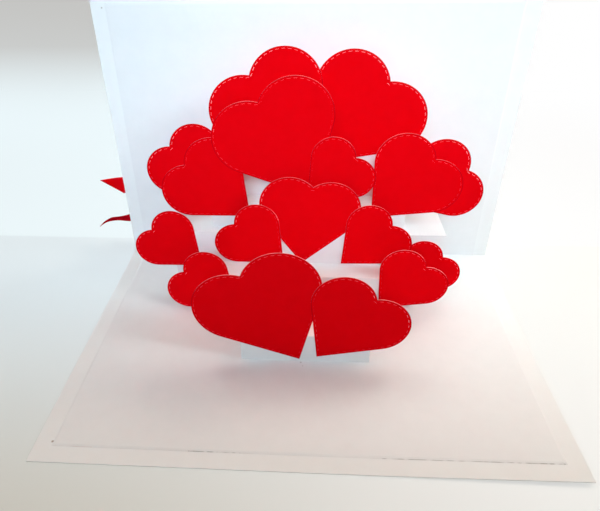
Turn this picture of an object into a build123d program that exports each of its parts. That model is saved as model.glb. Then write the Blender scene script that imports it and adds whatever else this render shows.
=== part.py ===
from build123d import *
import math
import os

os.makedirs("parts", exist_ok=True)

# Pop up card, standing open at a right angle.
# X runs along the fold, Y goes away from the viewer, Z is up.
# The origin is the middle of the underside of the half that lies on the table.

# The two sheets, in mm
card_width = 210.0
card_depth = 147.0
cover_thick = 0.35
liner_thick = 0.30
liner_margin = 7.0

# The steps. The wide one is cut across the fold of the card, and each of the others
# across a fold of the step before it, so each starts from that step's values.
# A step has half a width, a distance of its front wall from the fold, and a height of its top.
# Widths follow the width of the card: they are given for a card of 210 mm and times its share.
share = card_width / 210.0
wide_half = 68.0 * share
wide_out = 42.0
wide_top = 39.0

upper_half = wide_half - 20.0 * share
upper_out = wide_out - 5.5
upper_top = wide_top + 10.8

high_half = upper_half - 10.0 * share
high_out = upper_out - 14.5
high_top = upper_top + 38.2

low_half = upper_half - 3.0 * share
low_out = wide_out + 12.0
low_top = wide_top - 18.0

front_half = high_half - 8.8 * share
front_out = low_out + 36.0
front_top = low_top - 6.0

# The hearts, cut from thin red card
heart_thick = 0.30
big = 58.6 * share
large = 49.2 * share
medium = 47.1 * share
middling = 41.5 * share
small = 37.6 * share
tiny = 35.0 * share

# The ribbon on the outside
ribbon_width = 10.0
ribbon_thick = 0.35
knot_x = -65.0
knot_height = 34.0

# Where the inner faces of the opened card are
back_outer = card_depth / 2
front_edge = -card_depth / 2
floor = cover_thick + liner_thick
back = back_outer - cover_thick - liner_thick


# The outer card: one sheet with one fold
with BuildPart() as cover:
    with BuildSketch(Plane.YZ.offset(-card_width / 2)):
        with BuildLine():
            Polyline(
                (front_edge, 0),
                (back_outer, 0),
                (back_outer, card_depth),
                (back_outer - cover_thick, card_depth),
                (back_outer - cover_thick, cover_thick),
                (front_edge, cover_thick),
                close=True,
            )
        make_face()
    extrude(amount=card_width)

cover.part.label = "cover"
export_step(cover.part, "parts/cover.step")


# The inner sheet: one sheet, slit and folded into steps.
# Seen from the side it is a staircase. The same steps run only part of the width,
# so the sheet is made band by band, from the middle outwards.
def sheet_side(steps):
    """Corners of the sheet seen from the side, for steps given from front to back."""
    face = [(front_edge + liner_margin, floor)]
    under = [(front_edge + liner_margin, floor - liner_thick)]
    level = floor
    for out, top in steps:
        wall = back - out
        face.append((wall, level))
        under.append((wall + liner_thick, level - liner_thick))
        level = floor + top
        face.append((wall, level))
        under.append((wall + liner_thick, level - liner_thick))
    face.append((back, level))
    under.append((back + liner_thick, level - liner_thick))
    face.append((back, card_depth - liner_margin))
    under.append((back + liner_thick, card_depth - liner_margin))
    return face + under[::-1]


front_step = (front_out, front_top)
low_step = (low_out, low_top)
wide_step = (wide_out, wide_top)
upper_step = (upper_out, upper_top)
high_step = (high_out, high_top)

bands = [
    (0.0, front_half, [front_step, low_step, wide_step, upper_step, high_step]),
    (front_half, high_half, [low_step, wide_step, upper_step, high_step]),
    (high_half, low_half, [low_step, wide_step, upper_step]),
    (low_half, upper_half, [wide_step, upper_step]),
    (upper_half, wide_half, [wide_step]),
    (wide_half, card_width / 2 - liner_margin, []),
]

with BuildPart() as liner:
    for inner, outer, steps in bands:
        for start in (inner, -outer):
            with BuildSketch(Plane.YZ.offset(start)):
                with BuildLine():
                    Polyline(*sheet_side(steps), close=True)
                make_face()
            extrude(amount=outer - inner)

liner.part.label = "liner"
export_step(liner.part, "parts/liner.step")


# The hearts. Each is two round lobes and two straight sides that meet in the tip.
# A heart is given by the wall it is glued to, its layer on that wall, how far its tip is from
# the middle of the card, the step its height is counted from, the height of its tip over that,
# its width, and how far it leans to the left in degrees.
lobe_radius = 0.2976
lobe_across = 0.2024
lobe_up = 0.6659
reach = math.hypot(lobe_across, lobe_up)
side_angle = math.atan2(lobe_across, lobe_up) + math.asin(lobe_radius / reach)
side_length = math.sqrt(reach**2 - lobe_radius**2)
shoulder = (side_length * math.sin(side_angle), side_length * math.cos(side_angle))
cleft_up = lobe_up + math.sqrt(lobe_radius**2 - lobe_across**2)

side_right_x = low_half / share + 2.6

hearts = {
    "heart_front_left": (front_out, 1, -2.5, 0, 1.3, big * 1.012, 28.4),
    "heart_front_right": (front_out, 2, 5.3, 0, 3.4, medium, -36.4),
    "heart_low_left": (low_out, 1, -35.2, 0, 2.2, small, 52.0),
    "heart_low_right": (low_out, 1, 36.6, 0, 2.8, small, -39.5),
    "heart_centre": (wide_out, 1, -2.9, low_top, 0.3, large, -7.1),
    "heart_centre_left": (wide_out, 2, -11.9, low_top, 0.3, small, 47.2),
    "heart_centre_right": (wide_out, 2, 17.3, low_top, 0.6, small, -46.5),
    "heart_side_left": (wide_out, 1, -54.4, low_top, -2.5, tiny * 1.03, 48.5),
    "heart_side_right": (wide_out, 1, side_right_x, 0, 4.8, tiny * 0.965, -43.6),
    "heart_wing_left": (upper_out, 1, -28.7, upper_top, -4.3, medium * 0.983, 48.2),
    "heart_wing_right": (upper_out, 1, 31.2, upper_top, -4.0, medium, -41.4),
    "heart_wing_left_back": (upper_out, 0, -40.8, upper_top, 5.4, middling * 0.99, 42.3),
    "heart_wing_right_back": (upper_out, 0, 42.3, upper_top, 3.6, middling * 1.01, -60.7),
    "heart_top_front": (upper_out, 2, 2.0, upper_top, 7.4, big * 1.015, 28.3),
    "heart_top_small": (upper_out, 3, -0.2, upper_top, 6.3, tiny, -45.9),
    "heart_top_right": (high_out, 1, 5.1, upper_top, 18.5, big * 0.99, -38.0),
    "heart_top_left": (high_out, 2, 0.1, upper_top, 19.1, big * 0.984, 33.4),
}

for name, (wall_out, layer, tip_x, step_up, above, width, lean) in hearts.items():
    near_face = back - wall_out - heart_thick * layer
    tip = Plane(
        origin=(tip_x * share, near_face, floor + step_up + above * share),
        x_dir=(math.cos(math.radians(lean)), 0, math.sin(math.radians(lean))),
        z_dir=(0, -1, 0),
    )
    right_shoulder = (shoulder[0] * width, shoulder[1] * width)
    left_shoulder = (-right_shoulder[0], right_shoulder[1])
    cleft = (0, cleft_up * width)
    lobe_top = (lobe_across * width, (lobe_up + lobe_radius) * width)
    with BuildPart() as heart:
        with BuildSketch(tip):
            with BuildLine():
                Line((0, 0), right_shoulder)
                ThreePointArc(right_shoulder, lobe_top, cleft)
                ThreePointArc(cleft, (-lobe_top[0], lobe_top[1]), left_shoulder)
                Line(left_shoulder, (0, 0))
            make_face()
        extrude(amount=-heart_thick)
    heart.part.label = name
    export_step(heart.part, f"parts/{name}.step")


# The ribbon on the outside of the upright half: a knot, two loops and two ends.
# One end lies flat on the card, the other turns on its edge and stands off it.
knot_size = 9.0
knot_thick = 4.4
knot_z = floor + knot_height
left_edge = -card_width / 2

loop_length = 26.0
loop_gap = 0.6
loop_height = 6.6
loop_bend = (loop_height - loop_gap) / 2

upper_past = 13.5
upper_tip_up = 45.0
upper_cut = (12.5, -7.8)

lower_past = 20.6
lower_tip_up = 16.2
lower_cut = 9.0
lower_out = ribbon_width / 2 + 0.5


def loop_side(way, inset):
    """The side of one loop, seen along the card, from the knot out to its bend and back."""
    near = knot_z + way * (knot_size / 2 - 1.5)
    turn = knot_z + way * (loop_length - loop_bend)
    below = back_outer + loop_gap + inset
    above = back_outer + loop_height - inset
    middle = (below + above) / 2
    out = Line((back_outer + 1.2 + inset, near), (below, turn))
    bend = ThreePointArc(out @ 1, (middle, turn + way * (loop_bend - inset)), (above, turn))
    home = Line(bend @ 1, (back_outer + 2.9 - inset, near))
    Line(home @ 1, out @ 0)


with BuildPart() as ribbon_bow:
    # the knot
    with BuildSketch(Plane.XZ.offset(-back_outer)):
        with Locations((knot_x, knot_z)):
            RectangleRounded(knot_size, knot_size, 1.5)
    extrude(amount=-knot_thick)
    # the two loops, each a band of ribbon closed on itself
    for way in (1, -1):
        with BuildSketch(Plane.YZ.offset(knot_x - ribbon_width / 2)):
            with BuildLine():
                loop_side(way, 0)
            make_face()
            with BuildLine():
                loop_side(way, ribbon_thick)
            make_face(mode=Mode.SUBTRACT)
        extrude(amount=ribbon_width)
    # the end that lies flat, cut on a slant
    upper_tip = (left_edge - upper_past, floor + upper_tip_up)
    upper_root = (knot_x, knot_z + ribbon_width / 2)
    upper_foot = (upper_tip[0] + upper_cut[0], upper_tip[1] + upper_cut[1])
    with BuildSketch(Plane.XZ.offset(-back_outer)):
        with BuildLine():
            ThreePointArc(upper_root, (left_edge + 2, upper_tip[1] + 2.7), upper_tip)
            Line(upper_tip, upper_foot)
            Line(upper_foot, (knot_x, knot_z - ribbon_width / 2))
            Line((knot_x, knot_z - ribbon_width / 2), upper_root)
        make_face()
    extrude(amount=-ribbon_thick)
    # the end that turns, given by its place, its distance from the card and its turn
    stations = [
        (knot_x - 1, 2.4, knot_z - 1, 7.0, 0),
        (knot_x - 12, 3.2, knot_z - 4.5, 8.8, 25),
        (knot_x - 27, 5.0, knot_z - 9.0, ribbon_width, 62),
        (left_edge, lower_out, floor + lower_tip_up + 5.6, ribbon_width, 88),
        (left_edge - lower_past, lower_out, floor + lower_tip_up, ribbon_width, 90),
    ]
    for x, out, up, width, turn in stations:
        across = Plane(origin=(x, back_outer + out, up), x_dir=(0, 0, 1), z_dir=(-1, 0, 0))
        with BuildSketch(across):
            Rectangle(width, ribbon_thick, rotation=turn)
    loft()
    # its end is cut on a slant too
    lower_end = left_edge - lower_past
    with BuildSketch(Plane.XY.offset(floor + lower_tip_up - 3)):
        with BuildLine():
            Polyline(
                (lower_end - 2, back_outer - 1),
                (lower_end - 2, back_outer + ribbon_width + 1.5),
                (lower_end, back_outer + ribbon_width + 1.5),
                (lower_end + lower_cut, back_outer - 1),
                close=True,
            )
        make_face()
    extrude(amount=12, mode=Mode.SUBTRACT)

ribbon_bow.part.label = "ribbon_bow"
export_step(ribbon_bow.part, "parts/ribbon_bow.step")
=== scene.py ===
# %% [markdown]
# # A pop up card with paper hearts
# The card stands open at a right angle. Its two white sheets are bent a little from the flat ones of
# the CAD frame. The hearts are made again here from the outlines in the frame, because the real ones
# are pierced all round with a row of fine slits that look like stitches.
# Everything is in metres, in the same place as the CAD.

# %% Load the frame
import math
import bpy
import bmesh
from mathutils import Matrix, Vector


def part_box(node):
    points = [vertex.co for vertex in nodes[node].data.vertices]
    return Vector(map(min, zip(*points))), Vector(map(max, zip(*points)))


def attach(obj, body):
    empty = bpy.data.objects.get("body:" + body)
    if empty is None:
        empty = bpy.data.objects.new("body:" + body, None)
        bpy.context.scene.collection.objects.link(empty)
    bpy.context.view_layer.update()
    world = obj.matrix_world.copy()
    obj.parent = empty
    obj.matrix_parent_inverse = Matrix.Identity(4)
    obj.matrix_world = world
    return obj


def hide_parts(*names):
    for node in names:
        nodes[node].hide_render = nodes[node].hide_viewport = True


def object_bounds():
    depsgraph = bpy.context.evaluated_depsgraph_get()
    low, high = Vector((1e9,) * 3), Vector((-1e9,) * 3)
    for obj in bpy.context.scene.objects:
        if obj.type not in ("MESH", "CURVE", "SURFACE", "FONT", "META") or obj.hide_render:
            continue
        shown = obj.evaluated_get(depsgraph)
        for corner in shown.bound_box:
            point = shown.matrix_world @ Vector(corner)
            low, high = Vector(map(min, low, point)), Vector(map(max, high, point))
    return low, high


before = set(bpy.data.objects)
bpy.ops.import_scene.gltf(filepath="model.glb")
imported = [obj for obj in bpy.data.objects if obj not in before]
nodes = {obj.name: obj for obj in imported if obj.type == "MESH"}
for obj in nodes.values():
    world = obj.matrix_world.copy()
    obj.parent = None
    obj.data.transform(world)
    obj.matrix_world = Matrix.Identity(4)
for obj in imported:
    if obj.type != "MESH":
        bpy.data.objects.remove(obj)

MM = 0.001
scene = bpy.context.scene
cad_low, cad_high = [Vector(corner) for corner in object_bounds()]
size_mm = [round(v / MM, 1) for v in cad_high - cad_low]
print("the frame holds", len(nodes), "nodes and is", size_mm, "mm")

# %% [markdown]
# ## Camera
# The photograph was taken from above the middle of the front edge, looking down by about 32
# degrees. The picture's centre isn't where the lens points, so the camera has a small shift.

# %% Camera
def turned_camera(place, down, yaw, roll):
    """A matrix for a camera that looks along +Y, then down, then to the left, then rolled."""
    level = Matrix.Rotation(math.radians(90 - down), 4, "X")
    aside = Matrix.Rotation(math.radians(yaw), 4, "Z")
    tilt = Matrix.Rotation(math.radians(roll), 4, "Z")
    return Matrix.Translation(place) @ aside @ level @ tilt


lens = bpy.data.cameras.new("camera")
lens.sensor_width = 36.0
lens.lens = 31.78
lens.shift_x = 0.0315
lens.shift_y = -0.0318
lens.clip_start = 0.01
camera = bpy.data.objects.new("camera", lens)
scene.collection.objects.link(camera)
camera.matrix_world = turned_camera(
    place=(0.00103, -0.19294, 0.17836), down=32.12, yaw=3.60, roll=-0.87)
scene.camera = camera
scene.view_settings.view_transform = "Standard"
print("camera", round(lens.lens, 1), "mm lens,", round(camera.location.z / MM), "mm up")

# %% [markdown]
# ## Table and backdrop
# A plain pale table top. For the camera and the glosses its glow is painted with light and shade:
# a painted warmer shade at the near left, and painted light that makes it nearly white at the right.
# Just behind the card it turns almost white, with a soft line on the left where that starts. So the
# table is white from that line on, and the wall far behind goes on in the same tone. Only the camera
# and the glosses see that glow: the light that table and wall send back to the card is that of plain
# paint. Nodes are added by a small helper, which keeps each one on a line.

# %% Helpers for objects and nodes
def new_object(name, mesh):
    piece = bpy.data.objects.new(name, mesh)
    scene.collection.objects.link(piece)
    return piece


def flat_mesh(name, corners):
    mesh = bpy.data.meshes.new(name)
    mesh.from_pydata(corners, [], [tuple(range(len(corners)))])
    return mesh


def node_adder(tree):
    """A helper that adds a node to this tree: its settings, then its sockets as values or links."""
    def add(kind, props=None, **sockets):
        node = tree.nodes.new(kind)
        for key, value in (props or {}).items():
            setattr(node, key, value)
        for key, value in sockets.items():
            by_number = key[0] == "_"
            socket = node.inputs[int(key[1:]) if by_number else key.replace("_", " ")]
            if isinstance(value, bpy.types.NodeSocket):
                tree.links.new(value, socket)
            else:
                socket.default_value = value
        return node
    return add


def new_material(name):
    """An empty material and the helper for its nodes."""
    material = bpy.data.materials.new(name)
    material.use_nodes = True
    material.node_tree.nodes.clear()
    return material, node_adder(material.node_tree)


def maths(add, operation, *values):
    """One math node on one to three values or links."""
    sockets = {f"_{i}": value for i, value in enumerate(values)}
    return add("ShaderNodeMath", {"operation": operation}, **sockets).outputs[0]


def ramp(add, value, start, end):
    """Runs smoothly from 0 to 1 while the value goes from start to end."""
    smooth = {"interpolation_type": "SMOOTHSTEP"}
    return add("ShaderNodeMapRange", smooth, Value=value, From_Min=start, From_Max=end).outputs[0]


def blend(add, share, first, second):
    return add("ShaderNodeMix", {"data_type": "RGBA"}, _0=share, _6=first, _7=second).outputs[2]


def seen_ray(add):
    """1 for a ray that ends in the picture, straight or in a gloss, and 0 for light on the card."""
    rays = add("ShaderNodeLightPath").outputs
    seen = maths(add, "MAXIMUM", rays["Is Camera Ray"], rays["Is Glossy Ray"])
    return maths(add, "MAXIMUM", seen, rays["Is Transmission Ray"])


print("helpers are ready")

# %% Table
TABLE_WIDTH = 2.6
WALL_BACK = 0.62
WALL_LINE = 0.0845
WHITE, COOL_WHITE = (1.0, 1.0, 1.0, 1), (0.86, 0.965, 1.0, 1)
FAR_GREY, FRONT_PALE = (0.55, 0.545, 0.53, 1), (0.86, 0.86, 0.84, 1)
# the near tones of the glow: a painted warm grey shade at the near left and painted light at the right
NEAR_LEFT_PAINTED_SHADE, NEAR_COOL = (0.50, 0.455, 0.36, 1), (0.80, 0.93, 1.0, 1)
RIGHT_PAINTED_LIGHT = (1.02, 1.02, 1.0, 1)


def grey(tone):
    return (tone, tone, tone, 1)


def distance_tone(add, at, depth):
    """The tone behind the card: cool white, painted light that turns it white at the right, grey far
    off at the left.
    """
    white = blend(add, ramp(add, at["X"], -0.12, 0.10), COOL_WHITE, WHITE)
    left = ramp(add, at["X"], -0.06, -0.30)
    far = maths(add, "MULTIPLY", left, ramp(add, depth, 0.25, 0.74))
    return blend(add, far, white, FAR_GREY)


table, add = new_material("table_top")
place = add("ShaderNodeTexCoord").outputs["Object"]
at = add("ShaderNodeSeparateXYZ", _0=place).outputs
cloud = add("ShaderNodeTexNoise", _0=place, Scale=3.0, Detail=2.0).outputs["Fac"]
pale = blend(add, cloud, (0.80, 0.80, 0.79, 1), (0.84, 0.84, 0.83, 1))
paint = add("ShaderNodeBsdfPrincipled", Base_Color=pale, Roughness=0.6)
paint.inputs["Specular IOR Level"].default_value = 0.2
# painted shade at the near left, cooler towards the card, painted light at the right, paler far in
# front
near = blend(add, ramp(add, at["Y"], -0.15, 0.06), NEAR_LEFT_PAINTED_SHADE, NEAR_COOL)
near = blend(add, ramp(add, at["X"], -0.12, 0.14), near, RIGHT_PAINTED_LIGHT)
near = blend(add, ramp(add, at["Y"], -0.18, -0.50), near, FRONT_PALE)
beyond = ramp(add, at["Y"], WALL_LINE, WALL_LINE + 0.002)
tone = blend(add, beyond, near, distance_tone(add, at, at["Y"]))
glow = add("ShaderNodeEmission", Color=tone, Strength=1.0)
share = blend(add, beyond, grey(0.6), grey(0.88))
share = blend(add, ramp(add, at["Y"], 0.15, 0.40), share, WHITE)
share = maths(add, "MULTIPLY", share, seen_ray(add))
mixed = add("ShaderNodeMixShader", _0=share, _1=paint.outputs[0], _2=glow.outputs[0])
add("ShaderNodeOutputMaterial", Surface=mixed.outputs[0])

floor = new_object("table_top", flat_mesh("table_top", [
    (-TABLE_WIDTH, -TABLE_WIDTH, 0), (TABLE_WIDTH, -TABLE_WIDTH, 0),
    (TABLE_WIDTH, WALL_BACK, 0), (-TABLE_WIDTH, WALL_BACK, 0)]))
floor.data.materials.append(table)
print("the table's back edge is", WALL_BACK, "m behind the card's middle")

# %% Backdrop
WALL_HEIGHT = 2
backdrop_paint, add = new_material("backdrop")
at = add("ShaderNodeSeparateXYZ", _0=add("ShaderNodeTexCoord").outputs["Object"]).outputs
depth = maths(add, "ADD", at["Z"], WALL_BACK)
glow = add("ShaderNodeEmission", Color=distance_tone(add, at, depth), Strength=1.0)
wall = add("ShaderNodeBsdfDiffuse", Color=(0.85, 0.86, 0.86, 1))
mixed = add("ShaderNodeMixShader", _0=seen_ray(add), _1=wall.outputs[0], _2=glow.outputs[0])
add("ShaderNodeOutputMaterial", Surface=mixed.outputs[0])

backdrop = new_object("backdrop", flat_mesh("backdrop", [
    (-TABLE_WIDTH, WALL_BACK, 0), (TABLE_WIDTH, WALL_BACK, 0),
    (TABLE_WIDTH, WALL_BACK, WALL_HEIGHT), (-TABLE_WIDTH, WALL_BACK, WALL_HEIGHT)]))
backdrop.data.materials.append(backdrop_paint)
print("the backdrop is", WALL_HEIGHT, "m high")

# %% [markdown]
# ## Light
# Most light comes from both sides and from behind, over the top of the card, and it is a little warm.
# The hearts keep it off the paper in front of them, and the red that they throw back shows there.
# They get their own light from a weak lamp low in front. The upper part of the card is brighter and
# cooler, so three more lamps are aimed at it and spread little. The sky gives almost nothing, and
# only the camera and the glosses see it pale.

# %% Sky
sky = bpy.data.worlds.new("sky")
sky.use_nodes = True
sky.node_tree.nodes.clear()
add = node_adder(sky.node_tree)
fill = add("ShaderNodeBackground", Color=(1.0, 0.92, 0.80, 1), Strength=0.06)
pale = add("ShaderNodeBackground", Color=(0.90, 0.93, 0.94, 1), Strength=1.0)
mixed = add("ShaderNodeMixShader", _0=seen_ray(add), _1=fill.outputs[0], _2=pale.outputs[0])
add("ShaderNodeOutputWorld", Surface=mixed.outputs[0])
scene.world = sky
print("sky strength on the card:", round(fill.inputs["Strength"].default_value, 2))

# %% Lamps
CARD_MIDDLE = (0, 0, 0.06)
UPPER = (0.03, 0.07, 0.13)
UPPER_RIGHT = (0.12, 0.07, 0.10)
UPPER_LEFT = (-0.10, 0.07, 0.10)


def soft_light(name, place, aim, size, power, colour, spread=180):
    """A round soft lamp. A small spread keeps its light near the place that it is aimed at."""
    lamp = bpy.data.lights.new(name, "AREA")
    lamp.shape = "DISK"
    lamp.size = size
    lamp.energy = power
    lamp.color = colour
    lamp.spread = math.radians(spread)
    stand = bpy.data.objects.new(name, lamp)
    scene.collection.objects.link(stand)
    stand.location = place
    stand.rotation_euler = (Vector(aim) - Vector(place)).to_track_quat("-Z", "Y").to_euler()


soft_light("front_beam", (0.05, -0.50, 0.45), UPPER, 0.20, 0.115, (0.72, 0.92, 1.0), 30)
soft_light("right_beam", (0.50, -0.15, 0.40), UPPER_RIGHT, 0.20, 0.130, (0.88, 0.98, 1.0), 30)
soft_light("left_beam", (-0.20, -0.50, 0.42), UPPER_LEFT, 0.20, 0.085, (0.58, 0.82, 1.0), 26)
soft_light("low", (0.0, -0.60, 0.15), CARD_MIDDLE, 0.28, 0.28, (1.0, 0.97, 0.92))
soft_light("right", (0.50, 0.10, 0.30), CARD_MIDDLE, 0.25, 1.10, (1.0, 0.87, 0.70))
soft_light("behind", (0.30, 0.30, 0.50), CARD_MIDDLE, 0.25, 1.38, (1.0, 0.93, 0.82))
soft_light("left_top", (-0.18, 0.11, 0.40), CARD_MIDDLE, 0.20, 0.56, (1.0, 0.94, 0.86))
soft_light("left", (-0.50, -0.10, 0.30), CARD_MIDDLE, 0.25, 0.34, (1.0, 0.90, 0.78))

# %% [markdown]
# ## White paper
# Both white sheets are smooth card. Close up it has short fibres and faint clouds where it is a
# little thicker, so the colour moves by a few parts in a hundred and the surface by a few hundredths
# of a millimetre. The card is handmade: a dot of dried glue sits at two corners of the inner sheet.
# Where the glue missed the inner sheet's front edge, the shade in that gap is painted on as a broken
# grey and pink line, and a pink line of painted shade runs beside its left edge. A mark is the
# distance from a short line, worked out by a few vector nodes.

# %% A mark on paper
def near_line(add, place, start, end, width):
    """1 on the line from start to end, in mm, and 0 from half a width away."""
    def vectors(operation, **sockets):
        return add("ShaderNodeVectorMath", {"operation": operation}, **sockets).outputs

    start, end = Vector(start) * MM, Vector(end) * MM
    along = end - start
    offset = vectors("SUBTRACT", _0=place, _1=start)[0]
    if along.length > 0:
        part = vectors("DOT_PRODUCT", _0=offset, _1=along / along.length_squared)["Value"]
        part = add("ShaderNodeClamp", Value=part).outputs[0]
        reached = vectors("SCALE", _0=along, Scale=part)[0]
        offset = vectors("SUBTRACT", _0=offset, _1=reached)[0]
    distance = vectors("LENGTH", _0=offset)["Value"]
    outer, inner = width / 2 * MM, width / 6 * MM
    return add("ShaderNodeMapRange", Value=distance, From_Min=outer, From_Max=inner).outputs[0]


EDGE_SHADE_GREY, EDGE_SHADE_PINK, BROWN = (0.16, 0.14, 0.13, 1), (0.55, 0.26, 0.24, 1), (0.22, 0.10, 0.06, 1)
# start and end in mm, width in mm, strength, tone
glue_dots_and_painted_edge_shade = [
    # the four lines here are painted shade along the inner sheet's front and left edges
    ((-98.0, -66.5, 0.6), (-82.0, -66.5, 0.6), 0.55, 0.35, EDGE_SHADE_PINK),
    ((-44.0, -66.5, 0.6), (-24.0, -66.5, 0.6), 0.6, 0.75, EDGE_SHADE_GREY),
    ((30.0, -66.5, 0.7), (97.0, -66.5, 1.6), 0.55, 0.6, EDGE_SHADE_GREY),
    ((-98.2, -24.0, 0.6), (-98.2, -64.0, 0.6), 0.5, 0.35, EDGE_SHADE_PINK),
    ((-98.4, -64.5, 0.6), (-98.4, -64.5, 0.6), 1.5, 0.8, BROWN),
    ((-99.6, 72.9, 137.6), (-99.6, 72.9, 137.6), 1.2, 0.6, BROWN),
    ((-1.8, -18.2, 0.6), (-1.8, -18.2, 0.6), 0.9, 0.6, BROWN),
    ((-0.9, -20.4, 0.6), (-0.9, -20.4, 0.6), 0.7, 0.4, BROWN),
]
print("marks on the white paper:", len(glue_dots_and_painted_edge_shade))

# %% White paper
def noise(add, place, grain_mm, **sockets):
    """Noise with grains of about this size."""
    return add("ShaderNodeTexNoise", _0=place, Scale=1 / (grain_mm * MM), **sockets).outputs["Fac"]


def paper_finish(name, thin, thick, cloud_mm, grain_mm, rough, bump_mm, gloss=0.25, marks=()):
    """Paper or card: soft clouds in the colour, fine fibres in the surface, and any marks it is given,
    glue dots and lines of painted shade.
    """
    material, add = new_material(name)
    place = add("ShaderNodeTexCoord").outputs["Object"]
    clouds = noise(add, place, cloud_mm, Detail=3.0, Roughness=0.6)
    fibre_place = add("ShaderNodeMapping", Vector=place, Scale=(1.0, 1.0, 2.5)).outputs[0]
    fibres = noise(add, fibre_place, grain_mm, Detail=4.0, Roughness=0.7)
    both = maths(add, "MULTIPLY_ADD", fibres, 0.35, clouds)
    spread = add("ShaderNodeMapRange", Value=both, From_Min=0.45, From_Max=0.9).outputs[0]
    colour = blend(add, spread, thin, thick)
    if marks:
        breaks = noise(add, place, 3.0, Detail=1.0)
        broken = add("ShaderNodeMapRange", Value=breaks, From_Min=0.38, From_Max=0.58).outputs[0]
    for start, end, width, strength, tone in marks:
        mask = near_line(add, place, start, end, width)
        if start != end:
            mask = maths(add, "MULTIPLY", mask, broken)
        mask = maths(add, "MULTIPLY", mask, strength)
        colour = blend(add, mask, colour, tone)
    bump = add("ShaderNodeBump", Height=fibres, Strength=1.0, Distance=bump_mm * MM).outputs[0]
    face = add("ShaderNodeBsdfPrincipled", Base_Color=colour, Normal=bump, Roughness=rough)
    face.inputs["Specular IOR Level"].default_value = gloss
    add("ShaderNodeOutputMaterial", Surface=face.outputs[0])
    return material


white_card = paper_finish(
    "cover_card", thin=(0.86, 0.865, 0.875, 1), thick=(0.88, 0.885, 0.895, 1),
    cloud_mm=9, grain_mm=0.35, rough=0.62, bump_mm=0.02, marks=glue_dots_and_painted_edge_shade)
white_paper = paper_finish(
    "liner_paper", thin=(0.83, 0.83, 0.845, 1), thick=(0.85, 0.85, 0.865, 1),
    cloud_mm=7, grain_mm=0.30, rough=0.58, bump_mm=0.015, marks=glue_dots_and_painted_edge_shade)
print("white finishes:", white_card.name, white_paper.name)

# %% [markdown]
# ## The two white sheets
# Card never lies quite flat. The front right corner of the lying half is lifted by about a millimetre
# and a half, so a soft dark shadow shows under its front edge. Both sheets are copied from the frame,
# merged, and cut along a few lines so that they can bend there. Then each point of the lying half
# rises with its distance from the fold and from the middle. The cut edge of the inner sheet is glued
# down and pressed thin, so it hardly shows.

# %% How far the lying half rises
LIFT_HEIGHT, LIFT_FROM = 1.47 * MM, 6.1 * MM
HALF_WIDTH, HALF_DEPTH = 105.0 * MM, 73.5 * MM


def lift_at(x, y):
    """How far the lying half has risen at a point."""
    across = max(0.0, min(1.0, (x - LIFT_FROM) / (HALF_WIDTH - LIFT_FROM)))
    ahead = max(0.0, min(1.0, -y / HALF_DEPTH))
    return LIFT_HEIGHT * (across * ahead) ** 1.5


print("highest lift", round(lift_at(HALF_WIDTH, -HALF_DEPTH) / MM, 2), "mm")

# %% Bend the two sheets
PRESSED = 0.2 * MM
BEND_X = (-97, 6, 18, 30, 42, 54, 66, 78, 90, 97)
BEND_Y = (-65.5, -58, -48, -38, -28, -18, -8)
liner_low, liner_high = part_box("liner")


def level(a, b):
    """Whether two measures are the same to a hundredth of a millimetre."""
    return abs(a - b) < 1e-5


def bent_sheet(name, node, edge_pressed):
    """A copy of a sheet with its lying half bent and, if asked, its cut edge pressed thin."""
    shape = bmesh.new()
    shape.from_mesh(nodes[node].data)
    bmesh.ops.remove_doubles(shape, verts=shape.verts, dist=1e-6)
    cuts = [((x * MM, 0, 0), (1, 0, 0)) for x in BEND_X]
    cuts += [((0, y * MM, 0), (0, 1, 0)) for y in BEND_Y]
    cuts += [((0, 0, liner_high.z - 1 * MM), (0, 0, 1))]
    for point, normal in cuts:
        whole = shape.verts[:] + shape.edges[:] + shape.faces[:]
        bmesh.ops.bisect_plane(shape, geom=whole, dist=1e-6, plane_co=point, plane_no=normal)
    for v in shape.verts:
        lying = v.co.z < 1 * MM
        if edge_pressed:
            at_side = level(abs(v.co.x), liner_high.x)
            inner_face = v.co.z > liner_low.z + 1e-5 if lying else v.co.y < liner_high.y - 1e-5
            if lying and inner_face and (at_side or level(v.co.y, liner_low.y)):
                v.co.z -= PRESSED
            elif not lying and inner_face and (at_side or level(v.co.z, liner_high.z)):
                v.co.y += PRESSED
        if lying:
            v.co.z += lift_at(v.co.x, v.co.y)
    bmesh.ops.triangulate(shape, faces=shape.faces[:])
    mesh = bpy.data.meshes.new(name)
    shape.to_mesh(mesh)
    shape.free()
    return new_object(name, mesh)


for name, node, material, slot, edge_pressed in [
        ("cover_sheet", "cover", white_card, "cover_card", False),
        ("liner_sheet", "liner", white_paper, "liner_paper", True)]:
    sheet = bent_sheet(name, node, edge_pressed)
    sheet.data.materials.append(material)
    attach(sheet, "root")
    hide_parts(node)
    print(name, len(sheet.data.polygons), "faces")

# %% [markdown]
# ## Hearts
# Each heart is cut from thin red card with a stamp that also pierces a row of slits just inside the
# edge. Where white paper lies behind, the slits at the sides are bright. At the top the card's own
# thickness hides what is behind, and they are only a lighter red. So the slits are real holes here.
# The knife also presses the card down along its edge. That narrow rim is painted a darker red, as
# painted shade for its slope and for the thin shadows where hearts overlap. On the straight sides the
# slits are finer and hardly show.
# The frame gives each heart's outline. Its tip and its cleft are its two sharp corners, and from
# those come its place, width and lean. The lengths of a heart are shares of its width.

# %% A heart's shape
LOBE_RADIUS = 0.2976
LOBE_ACROSS = 0.2024
LOBE_UP = 0.6659
CLEFT_UP = LOBE_UP + math.sqrt(LOBE_RADIUS**2 - LOBE_ACROSS**2)
LOBE_REACH = math.hypot(LOBE_ACROSS, LOBE_UP)
SIDE_ANGLE = math.atan2(LOBE_ACROSS, LOBE_UP) + math.asin(LOBE_RADIUS / LOBE_REACH)
print("a heart's side leans out by", round(math.degrees(SIDE_ANGLE)), "degrees")

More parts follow.
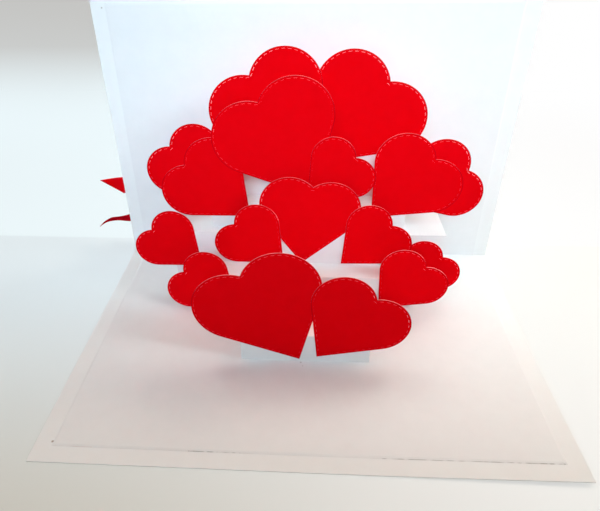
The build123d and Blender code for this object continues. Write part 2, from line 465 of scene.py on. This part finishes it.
# %% Read the hearts from the frame
def outline_corners(node):
    """The front outline of a flat node as (x, z) points in order, and the y of its front and back."""
    low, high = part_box(node)
    shape = bmesh.new()
    shape.from_mesh(nodes[node].data)
    bmesh.ops.remove_doubles(shape, verts=shape.verts, dist=1e-6)
    front = [f for f in shape.faces if f.normal.y < -0.9]
    members = set(front)
    rim = [e for e in shape.edges if sum(f in members for f in e.link_faces) == 1]
    ring = [rim[0].verts[0], rim[0].verts[1]]
    while ring[-1] is not ring[0]:
        for edge in ring[-1].link_edges:
            other = edge.other_vert(ring[-1])
            if edge in rim and other is not ring[-2]:
                ring.append(other)
                break
    points = [Vector((v.co.x, v.co.z)) for v in ring[:-1]]
    shape.free()
    return points, low.y, high.y


def heart_place(node):
    """Where a heart's tip is, how wide it is and how far it leans, from its two sharp corners."""
    points, front, back = outline_corners(node)
    area = sum(a.x * b.y - b.x * a.y for a, b in zip(points, points[1:] + points[:1]))
    if area < 0:
        points.reverse()
    turns = []
    for i, here in enumerate(points):
        before, after = here - points[i - 1], points[(i + 1) % len(points)] - here
        turns.append(math.atan2(before.x * after.y - before.y * after.x, before.dot(after)))
    tip = points[turns.index(max(turns))]
    cleft = points[turns.index(min(turns))]
    axis = cleft - tip
    return {"tip": tip, "width": axis.length / CLEFT_UP, "lean": math.atan2(-axis.x, axis.y),
            "front": front, "back": back}


hearts = {name: heart_place(name) for name in sorted(nodes) if name.startswith("heart_")}
for name, heart in hearts.items():
    lean = math.degrees(heart["lean"])
    print(f"{name}: {heart['width'] / MM:.1f} mm wide, leans {lean:.0f} degrees")

# %% [markdown]
# The stamp is a Geometry Nodes tree. It gets a flat mesh with three closed lines: the outline, the
# inner side of the pressed rim, and the stitch line. It lays a thin oblong on the stitch line at even
# steps and fills the middle with these oblongs left open. It fills the rim as a band of its own, joins
# the two and gives the sheet its thickness. The cut edges get a paler finish: partly the paler cut
# fibres, and partly a painted highlight along the edge.

# %% Stamp for the hearts
def stamp_tree():
    """Outline, rim line and stitch line in, pierced card out."""
    tree = bpy.data.node_groups.new("heart_stamp", "GeometryNodeTree")
    face = tree.interface
    face.new_socket("Geometry", in_out="INPUT", socket_type="NodeSocketGeometry")
    for label in ("Stitch step", "Stitch length", "Slit width", "Card thickness"):
        face.new_socket(label, in_out="INPUT", socket_type="NodeSocketFloat")
    for label in ("Card", "Rim", "Cut edge"):
        face.new_socket(label, in_out="INPUT", socket_type="NodeSocketMaterial")
    face.new_socket("Geometry", in_out="OUTPUT", socket_type="NodeSocketGeometry")
    inlet = tree.nodes.new("NodeGroupInput").outputs
    add = node_adder(tree)

    def attribute(name, data_type):
        kind = {"data_type": data_type}
        return add("GeometryNodeInputNamedAttribute", kind, Name=name).outputs["Attribute"]

    kind = attribute("line_kind", "INT")
    equal = {"data_type": "INT", "operation": "EQUAL"}
    curves = []
    for number in range(3):
        mine = add("FunctionNodeCompare", equal, _2=kind, _3=number).outputs[0]
        points = add("GeometryNodeSeparateGeometry", {"domain": "POINT"},
                     Geometry=inlet["Geometry"], Selection=mine)
        curves.append(add("GeometryNodeMeshToCurve", Mesh=points.outputs["Selection"]).outputs[0])
    outline, rim_line, stitch_line = curves

    # one oblong, laid at each step of the stitch line and turned along it
    steps = add("GeometryNodeResampleCurve", {"mode": "LENGTH"},
                Curve=stitch_line, Length=inlet["Stitch step"]).outputs[0]
    slit = add("GeometryNodeCurvePrimitiveQuadrilateral",
               Width=inlet["Stitch length"], Height=inlet["Slit width"]).outputs[0]
    along = add("GeometryNodeInputTangent").outputs[0]
    turn = add("FunctionNodeAlignRotationToVector", {"axis": "X"}, Vector=along).outputs[0]
    size = add("ShaderNodeCombineXYZ", X=1.0, Y=attribute("slit_share", "FLOAT"), Z=1.0).outputs[0]
    laid = add("GeometryNodeInstanceOnPoints",
               Points=steps, Instance=slit, Rotation=turn, Scale=size).outputs[0]
    slits = add("GeometryNodeRealizeInstances", Geometry=laid).outputs[0]

    def joined(first, second):
        both = add("GeometryNodeJoinGeometry", Geometry=first)
        tree.links.new(second, both.inputs[0])
        return both.outputs[0]

    def merged(geometry):
        return add("GeometryNodeMergeByDistance", Geometry=geometry, Distance=1e-6).outputs[0]

    def filled(first, second, label):
        """A flat sheet between two closed lines, in the finish of this input."""
        sheet = add("GeometryNodeFillCurve", Curve=joined(first, second)).outputs[0]
        return add("GeometryNodeSetMaterial", Geometry=sheet, Material=inlet[label]).outputs[0]

    # the flat sheet, its raised copy with pale sides, and the sheet itself turned over as the back
    sheet = merged(joined(filled(rim_line, slits, "Card"), filled(outline, rim_line, "Rim")))
    raised = add("GeometryNodeExtrudeMesh", Mesh=sheet, Offset=(0.0, 0.0, 1.0),
                 Offset_Scale=inlet["Card thickness"], Individual=False).outputs
    under = add("GeometryNodeFlipFaces", Mesh=sheet).outputs[0]
    pale = add("GeometryNodeSetMaterial", Geometry=raised["Mesh"], Selection=raised["Side"],
               Material=inlet["Cut edge"]).outputs[0]
    real = add("GeometryNodeRealizeInstances", Geometry=merged(joined(pale, under))).outputs[0]
    flat = add("GeometryNodeSetShadeSmooth", Geometry=real, Shade_Smooth=False).outputs[0]
    add("NodeGroupOutput", Geometry=flat)
    return tree


stamp = stamp_tree()
print("stamp tree has", len(stamp.nodes), "nodes")

# %% Red card
red_card = paper_finish(
    "heart_card", thin=(0.745, 0.0007, 0.0038, 1), thick=(0.775, 0.0011, 0.0052, 1),
    cloud_mm=5, grain_mm=0.28, rough=0.8, bump_mm=0.02, gloss=0.0)
# the rim's darker red is painted shade, for the pressed slope and the shadows where hearts overlap
red_rim_painted_shade = paper_finish(
    "heart_rim_painted_shade", thin=(0.36, 0.001, 0.006, 1), thick=(0.46, 0.002, 0.012, 1),
    cloud_mm=4, grain_mm=0.28, rough=0.7, bump_mm=0.02, gloss=0.03)
# pale cut fibres, made paler still as a painted highlight along the edges and slits
red_cut_edge_and_highlight = paper_finish(
    "heart_cut_edge_and_highlight", thin=(0.95, 0.20, 0.23, 1), thick=(1.0, 0.28, 0.31, 1),
    cloud_mm=2, grain_mm=0.2, rough=0.8, bump_mm=0.01, gloss=0.1)
print("red finishes:", red_card.name, red_rim_painted_shade.name, red_cut_edge_and_highlight.name)

# %% The lines of one heart
ARC_STEPS = 30
FINE_BELOW, FINE_SHARE = 0.5, 0.4


def heart_line(width, inset):
    """A heart's outline, its tip at the origin, moved in by inset."""
    radius = LOBE_RADIUS * width - inset
    middle = Vector((LOBE_ACROSS * width, LOBE_UP * width))
    start = -SIDE_ANGLE
    end = math.atan2(math.sqrt(radius**2 - middle.x**2), -middle.x)
    right = []
    for i in range(ARC_STEPS + 1):
        angle = start + (end - start) * i / ARC_STEPS
        right.append(middle + radius * Vector((math.cos(angle), math.sin(angle))))
    left = [Vector((-p.x, p.y)) for p in reversed(right[:-1])]
    return [Vector((0, inset / math.sin(SIDE_ANGLE)))] + right + left


def heart_lines(name, width, insets):
    """The three lines of a heart as a mesh of edges, marked for the stamp."""
    lines = [heart_line(width, inset) for inset in insets]
    points, ring, kinds, shares = [], [], [], []
    for number, line in enumerate(lines):
        first = len(points)
        points += [(p.x, p.y, 0) for p in line]
        ring += [(first + i, first + (i + 1) % len(line)) for i in range(len(line))]
        kinds += [number] * len(line)
        shares += [1.0 if p.y > FINE_BELOW * width else FINE_SHARE for p in line]
    mesh = bpy.data.meshes.new(name)
    mesh.from_pydata(points, ring, [])
    mesh.attributes.new("line_kind", "INT", "POINT").data.foreach_set("value", kinds)
    mesh.attributes.new("slit_share", "FLOAT", "POINT").data.foreach_set("value", shares)
    return mesh


print("a heart's line has", len(heart_line(1, 0)), "points")

# %% Stamp the hearts
def socket_id(tree, label):
    inputs = [s for s in tree.interface.items_tree if s.in_out == "INPUT"]
    return next(s.identifier for s in inputs if s.name == label)


def stamped(name, width, sizes):
    """Runs the stamp on a heart of this width and returns it as plain mesh, flat, tip at the origin."""
    mesh = heart_lines(name, width, (0, sizes["rim"], sizes["stitch_in"]))
    blank = new_object(name, mesh)
    press = blank.modifiers.new("stamp", "NODES")
    press.node_group = stamp
    values = {"Stitch step": sizes["step"], "Stitch length": sizes["length"],
              "Slit width": sizes["slit"], "Card thickness": sizes["thick"],
              "Card": red_card, "Rim": red_rim_painted_shade, "Cut edge": red_cut_edge_and_highlight}
    for label, value in values.items():
        press[socket_id(stamp, label)] = value
    bpy.context.view_layer.update()
    depsgraph = bpy.context.evaluated_depsgraph_get()
    result = bpy.data.meshes.new_from_object(blank.evaluated_get(depsgraph))
    blank.modifiers.clear()
    blank.data = result
    bpy.data.meshes.remove(mesh)
    result.name = name
    return blank


sizes = {"rim": 0.22 * MM, "stitch_in": 1.05 * MM, "step": 2.9 * MM, "length": 1.6 * MM,
         "slit": 0.11 * MM}
upright = Matrix.Rotation(math.radians(90), 4, "X")
for name, heart in hearts.items():
    sizes["thick"] = heart["back"] - heart["front"]
    piece = stamped(name + "_card", heart["width"], sizes)
    lean = Matrix.Rotation(-heart["lean"], 4, "Y")
    place = Matrix.Translation((heart["tip"].x, heart["back"], heart["tip"].y))
    piece.data.transform(place @ lean @ upright)
    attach(piece, "root")
    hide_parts(name)
    print(name, len(piece.data.polygons), "faces")

# %% [markdown]
# ## Ribbon
# A narrow satin ribbon is tied into a bow on the outside of the upright half. Its two ends run to
# the left edge of the card and show past it: the upper one lies flat, the lower one has turned on
# its edge. The runs between knot, loops and ends are hidden, so each is a strip of its own that
# follows a line, with a place, a direction across and a width at every station and a smooth run in
# between.

# %% A strip of ribbon
RIBBON_WIDE = 10.0
AHEAD = 0.01


def between(values, t):
    """A smooth run through the values of the stations, at t from 0 to 1."""
    last = len(values) - 1
    i = min(int(t * last), last - 1)
    f = t * last - i
    p0, p1, p2, p3 = [values[max(0, min(last, i + k))] for k in (-1, 0, 1, 2)]
    square = 2 * p0 - 5 * p1 + 4 * p2 - p3
    cube = 3 * p1 - p0 - 3 * p2 + p3
    return 0.5 * (2 * p1 + (p2 - p0) * f + square * f**2 + cube * f**3)


def strip(shape, stations, steps, side, across_steps=8):
    """Adds a strip of ribbon to a bmesh. A station is its middle, the way across, the width and the
    height of its arch, all in mm. The UV runs across the ribbon and along it, in ribbon widths.
    The side is the number of the ribbon's slot for these faces."""
    weave = shape.loops.layers.uv.verify()
    middles = [Vector(s[0]) for s in stations]
    aways = [Vector(s[1]).normalized() for s in stations]
    widths = [s[2] for s in stations]
    arches = [s[3] for s in stations]
    rows, run = [], 0.0
    before = None
    for i in range(steps + 1):
        t = i / steps
        middle = between(middles, t)
        ahead = between(middles, min(1, t + AHEAD)) - between(middles, max(0, t - AHEAD))
        ahead = ahead.normalized()
        away = between(aways, t)
        away = (away - ahead * away.dot(ahead)).normalized()
        up = ahead.cross(away)
        if before is not None:
            run += (middle - before).length
        before = middle
        row = []
        for k in range(across_steps + 1):
            u = 2 * k / across_steps - 1
            arch = up * (between(arches, t) * (1 - u * u))
            point = middle + away * (u * between(widths, t) / 2) + arch
            row.append((shape.verts.new(point * MM), (k / across_steps, run / RIBBON_WIDE)))
        rows.append(row)
    for low_row, high_row in zip(rows, rows[1:]):
        for k in range(across_steps):
            corners = [low_row[k], low_row[k + 1], high_row[k + 1], high_row[k]]
            face = shape.faces.new([c[0] for c in corners])
            face.smooth = True
            face.material_index = side
            for loop, corner in zip(face.loops, corners):
                loop[weave].uv = corner[1]
    return run


def cut_end(shape, faces, corner_a, corner_b, outside):
    """Cuts a strip along the line from corner_a to corner_b and drops what is on the outside."""
    a, b = Vector(corner_a) * MM, Vector(corner_b) * MM
    normal = (b - a).cross(Vector(outside[1]))
    if normal.dot(Vector(outside[0])) < 0:
        normal = -normal
    parts = set(faces) | {e for f in faces for e in f.edges} | {v for f in faces for v in f.verts}
    bmesh.ops.bisect_plane(
        shape, geom=list(parts), dist=1e-6, plane_co=a, plane_no=normal, clear_outer=True)


print("the ribbon is", RIBBON_WIDE, "mm wide")

# %% The two ends
# a station: its middle, the way across, the width, the height of its arch
GLOSSY, DULL, PAINTED_LIGHT = 0, 1, 3
OUT = Vector((0, 1, 0))
shape = bmesh.new()

# the end that lies flat on the card
# its faces take the lit copy of the dull side, which is painted light
strip(shape, [
    ((-65.0, 75.4, 35.4), (0.1, 0.0, 1.0), 6.0, 0.5),
    ((-71.0, 74.8, 37.0), (0.22, 0.0, 1.0), 8.2, 0.4),
    ((-80.0, 74.1, 39.4), (0.22, 0.0, 1.0), 9.8, 0.15),
    ((-92.0, 73.95, 41.8), (0.15, 0.0, 1.0), 10.0, 0.05),
    ((-105.0, 74.0, 43.2), (0.02, 0.0, 1.0), 10.0, 0.05),
    ((-121.0, 74.4, 40.4), (-0.28, 0.0, 1.0), 10.0, 0.1),
], 40, PAINTED_LIGHT)
cut_end(shape, shape.faces[:], (-118.5, 74.0, 45.65), (-106.0, 74.0, 37.85), ((-1, 0, 0), OUT))
upper_faces = set(shape.faces)

# the end that turns on its edge: its upper edge stays near the card, its lower edge stands off
strip(shape, [
    ((-65.5, 75.8, 33.8), (0.0, 0.0, 1.0), 6.0, 0.5),
    ((-77.0, 76.0, 30.2), (0.0, -0.12, 1.0), 8.6, 0.4),
    ((-91.0, 76.9, 24.0), (0.0, -0.40, 0.92), 9.8, 0.2),
    ((-107.0, 77.6, 19.3), (0.0, -0.635, 0.772), 10.0, 0.1),
    ((-115.8, 77.6, 18.6), (0.0, -0.765, 0.644), 10.0, 0.05),
    ((-122.3, 77.6, 17.1), (0.0, -0.81, 0.59), 10.0, 0.05),
    ((-126.9, 77.3, 14.6), (0.0, -0.83, 0.56), 10.0, 0.0),
    ((-131.8, 77.0, 10.4), (0.0, -0.84, 0.54), 10.0, 0.0),
], 56, DULL)
lower_faces = [f for f in shape.faces if f not in upper_faces]
cut_end(shape, lower_faces, (-127.6, 81.4, 12.4), (-116.0, 73.8, 23.9),
        ((-1, 0, 0), (-0.3, 0.56, 0.74)))
print("the ends have", len(shape.faces), "faces")

# %% Loops and knot
KNOT_UP = 34.6
for way, side in ((1, GLOSSY), (-1, DULL)):
    strip(shape, [
        ((-65.0, 75.6, KNOT_UP + way * 2.5), (1, 0, 0), 5.4, 0.9),
        ((-65.2, 74.9, KNOT_UP + way * 9.0), (1, 0, 0.05 * way), 8.2, 0.6),
        ((-65.4, 74.5, KNOT_UP + way * 17.0), (1, 0, 0.05 * way), 10.0, 0.2),
        ((-65.5, 75.2, KNOT_UP + way * 23.5), (1, 0, 0.05 * way), 10.0, 0.0),
        ((-65.5, 77.4, KNOT_UP + way * 25.8), (1, 0, 0.05 * way), 10.0, 0.0),
        ((-65.4, 79.7, KNOT_UP + way * 22.0), (1, 0, 0.05 * way), 10.0, 0.0),
        ((-65.2, 79.9, KNOT_UP + way * 15.0), (1, 0, 0.05 * way), 9.6, -0.3),
        ((-65.0, 78.6, KNOT_UP + way * 8.0), (1, 0, 0.05 * way), 7.6, -0.6),
        ((-65.0, 77.2, KNOT_UP + way * 2.5), (1, 0, 0), 5.4, -0.6),
    ], 60, side)

# the knot's wrap over the middle
strip(shape, [
    ((-61.2, 74.2, 34.6), (0, 0, 1), 7.0, 0.0),
    ((-60.6, 76.0, 34.6), (0, 0, 1), 7.6, 0.3),
    ((-62.2, 77.7, 34.6), (0, 0, 1), 8.2, 0.5),
    ((-65.0, 78.3, 34.7), (0, 0, 1), 8.6, 0.6),
    ((-67.8, 77.7, 34.7), (0, 0, 1), 8.2, 0.5),
    ((-69.4, 76.0, 34.6), (0, 0, 1), 7.6, 0.3),
    ((-68.8, 74.2, 34.6), (0, 0, 1), 7.0, 0.0),
], 28, DULL)

mesh = bpy.data.meshes.new("ribbon_tied")
shape.to_mesh(mesh)
shape.free()
ribbon = new_object("ribbon_tied", mesh)
thicken = ribbon.modifiers.new("thickness", "SOLIDIFY")
thicken.thickness = 0.25 * MM
thicken.offset = 0.0
thicken.material_offset = 1

# %% [markdown]
# Satin has fine threads along its length and a firm woven edge on both sides. Only one side of the
# ribbon is glossy. The other is dull, and that is the side that both ends turn to the front. The upper
# end gets a lit copy of the dull side, a little brighter and letting light from behind shine through:
# this is painted light, as the lower end of the same ribbon keeps the plain dull side. The far side of
# a face takes the slot after its own, so a glossy slot follows each dull one.

# %% Satin
def satin_finish(name, low_tint, high_tint, edge_tint, rough, gloss, sheen, shine_through=0.0):
    """One side of the ribbon: threads, fine ribs across and a firmer, darker edge."""
    material, add = new_material(name)
    weave = add("ShaderNodeUVMap", {"uv_map": "UVMap"}).outputs[0]
    split = add("ShaderNodeSeparateXYZ", _0=weave).outputs
    stretched = add("ShaderNodeMapping", Vector=weave, Scale=(60.0, 1.2, 1.0)).outputs[0]
    threads = add("ShaderNodeTexNoise", _0=stretched, Scale=1.0, Detail=2.0).outputs["Fac"]
    ribs = maths(add, "SINE", maths(add, "MULTIPLY", split["Y"], 220.0))
    from_middle = maths(add, "ABSOLUTE", maths(add, "SUBTRACT", split["X"], 0.5))
    tint = blend(add, threads, low_tint, high_tint)
    colour = blend(add, ramp(add, from_middle, 0.44, 0.47), tint, edge_tint)
    relief = maths(add, "MULTIPLY_ADD", ribs, 0.25, threads)
    bump = add("ShaderNodeBump", Height=relief, Distance=0.03 * MM, Strength=0.8).outputs[0]
    face = add("ShaderNodeBsdfPrincipled", Base_Color=colour, Normal=bump, Roughness=rough)
    face.inputs["Specular IOR Level"].default_value = gloss
    face.inputs["Sheen Weight"].default_value = sheen
    face.inputs["Sheen Tint"].default_value = (1.0, 0.10, 0.12, 1)
    face.inputs["Subsurface Weight"].default_value = shine_through
    face.inputs["Subsurface Radius"].default_value = (1.0, 0.02, 0.02)
    face.inputs["Subsurface Scale"].default_value = 1.0 * MM
    add("ShaderNodeOutputMaterial", Surface=face.outputs[0])
    return material


glossy_side = satin_finish(
    "ribbon_satin", low_tint=(0.92, 0.004, 0.012, 1), high_tint=(1.0, 0.006, 0.016, 1),
    edge_tint=(0.62, 0.003, 0.014, 1), rough=0.42, gloss=0.06, sheen=0.08)
dull_side = satin_finish(
    "ribbon_dull_side", low_tint=(0.94, 0.004, 0.004, 1), high_tint=(1.0, 0.007, 0.006, 1),
    edge_tint=(0.45, 0.002, 0.010, 1), rough=0.7, gloss=0.0, sheen=0.0)
# a lit copy of the dull side, for the upper end only: painted light
painted_light_side = satin_finish(
    "ribbon_painted_light_side", low_tint=(0.96, 0.004, 0.004, 1), high_tint=(1.0, 0.007, 0.006, 1),
    edge_tint=(0.60, 0.002, 0.008, 1), rough=0.7, gloss=0.0, sheen=0.0, shine_through=1.0)
for side in (glossy_side, dull_side, glossy_side, painted_light_side, glossy_side):
    ribbon.data.materials.append(side)
print("ribbon sides:", [m.name for m in ribbon.data.materials])

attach(ribbon, "root")
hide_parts("ribbon_bow")
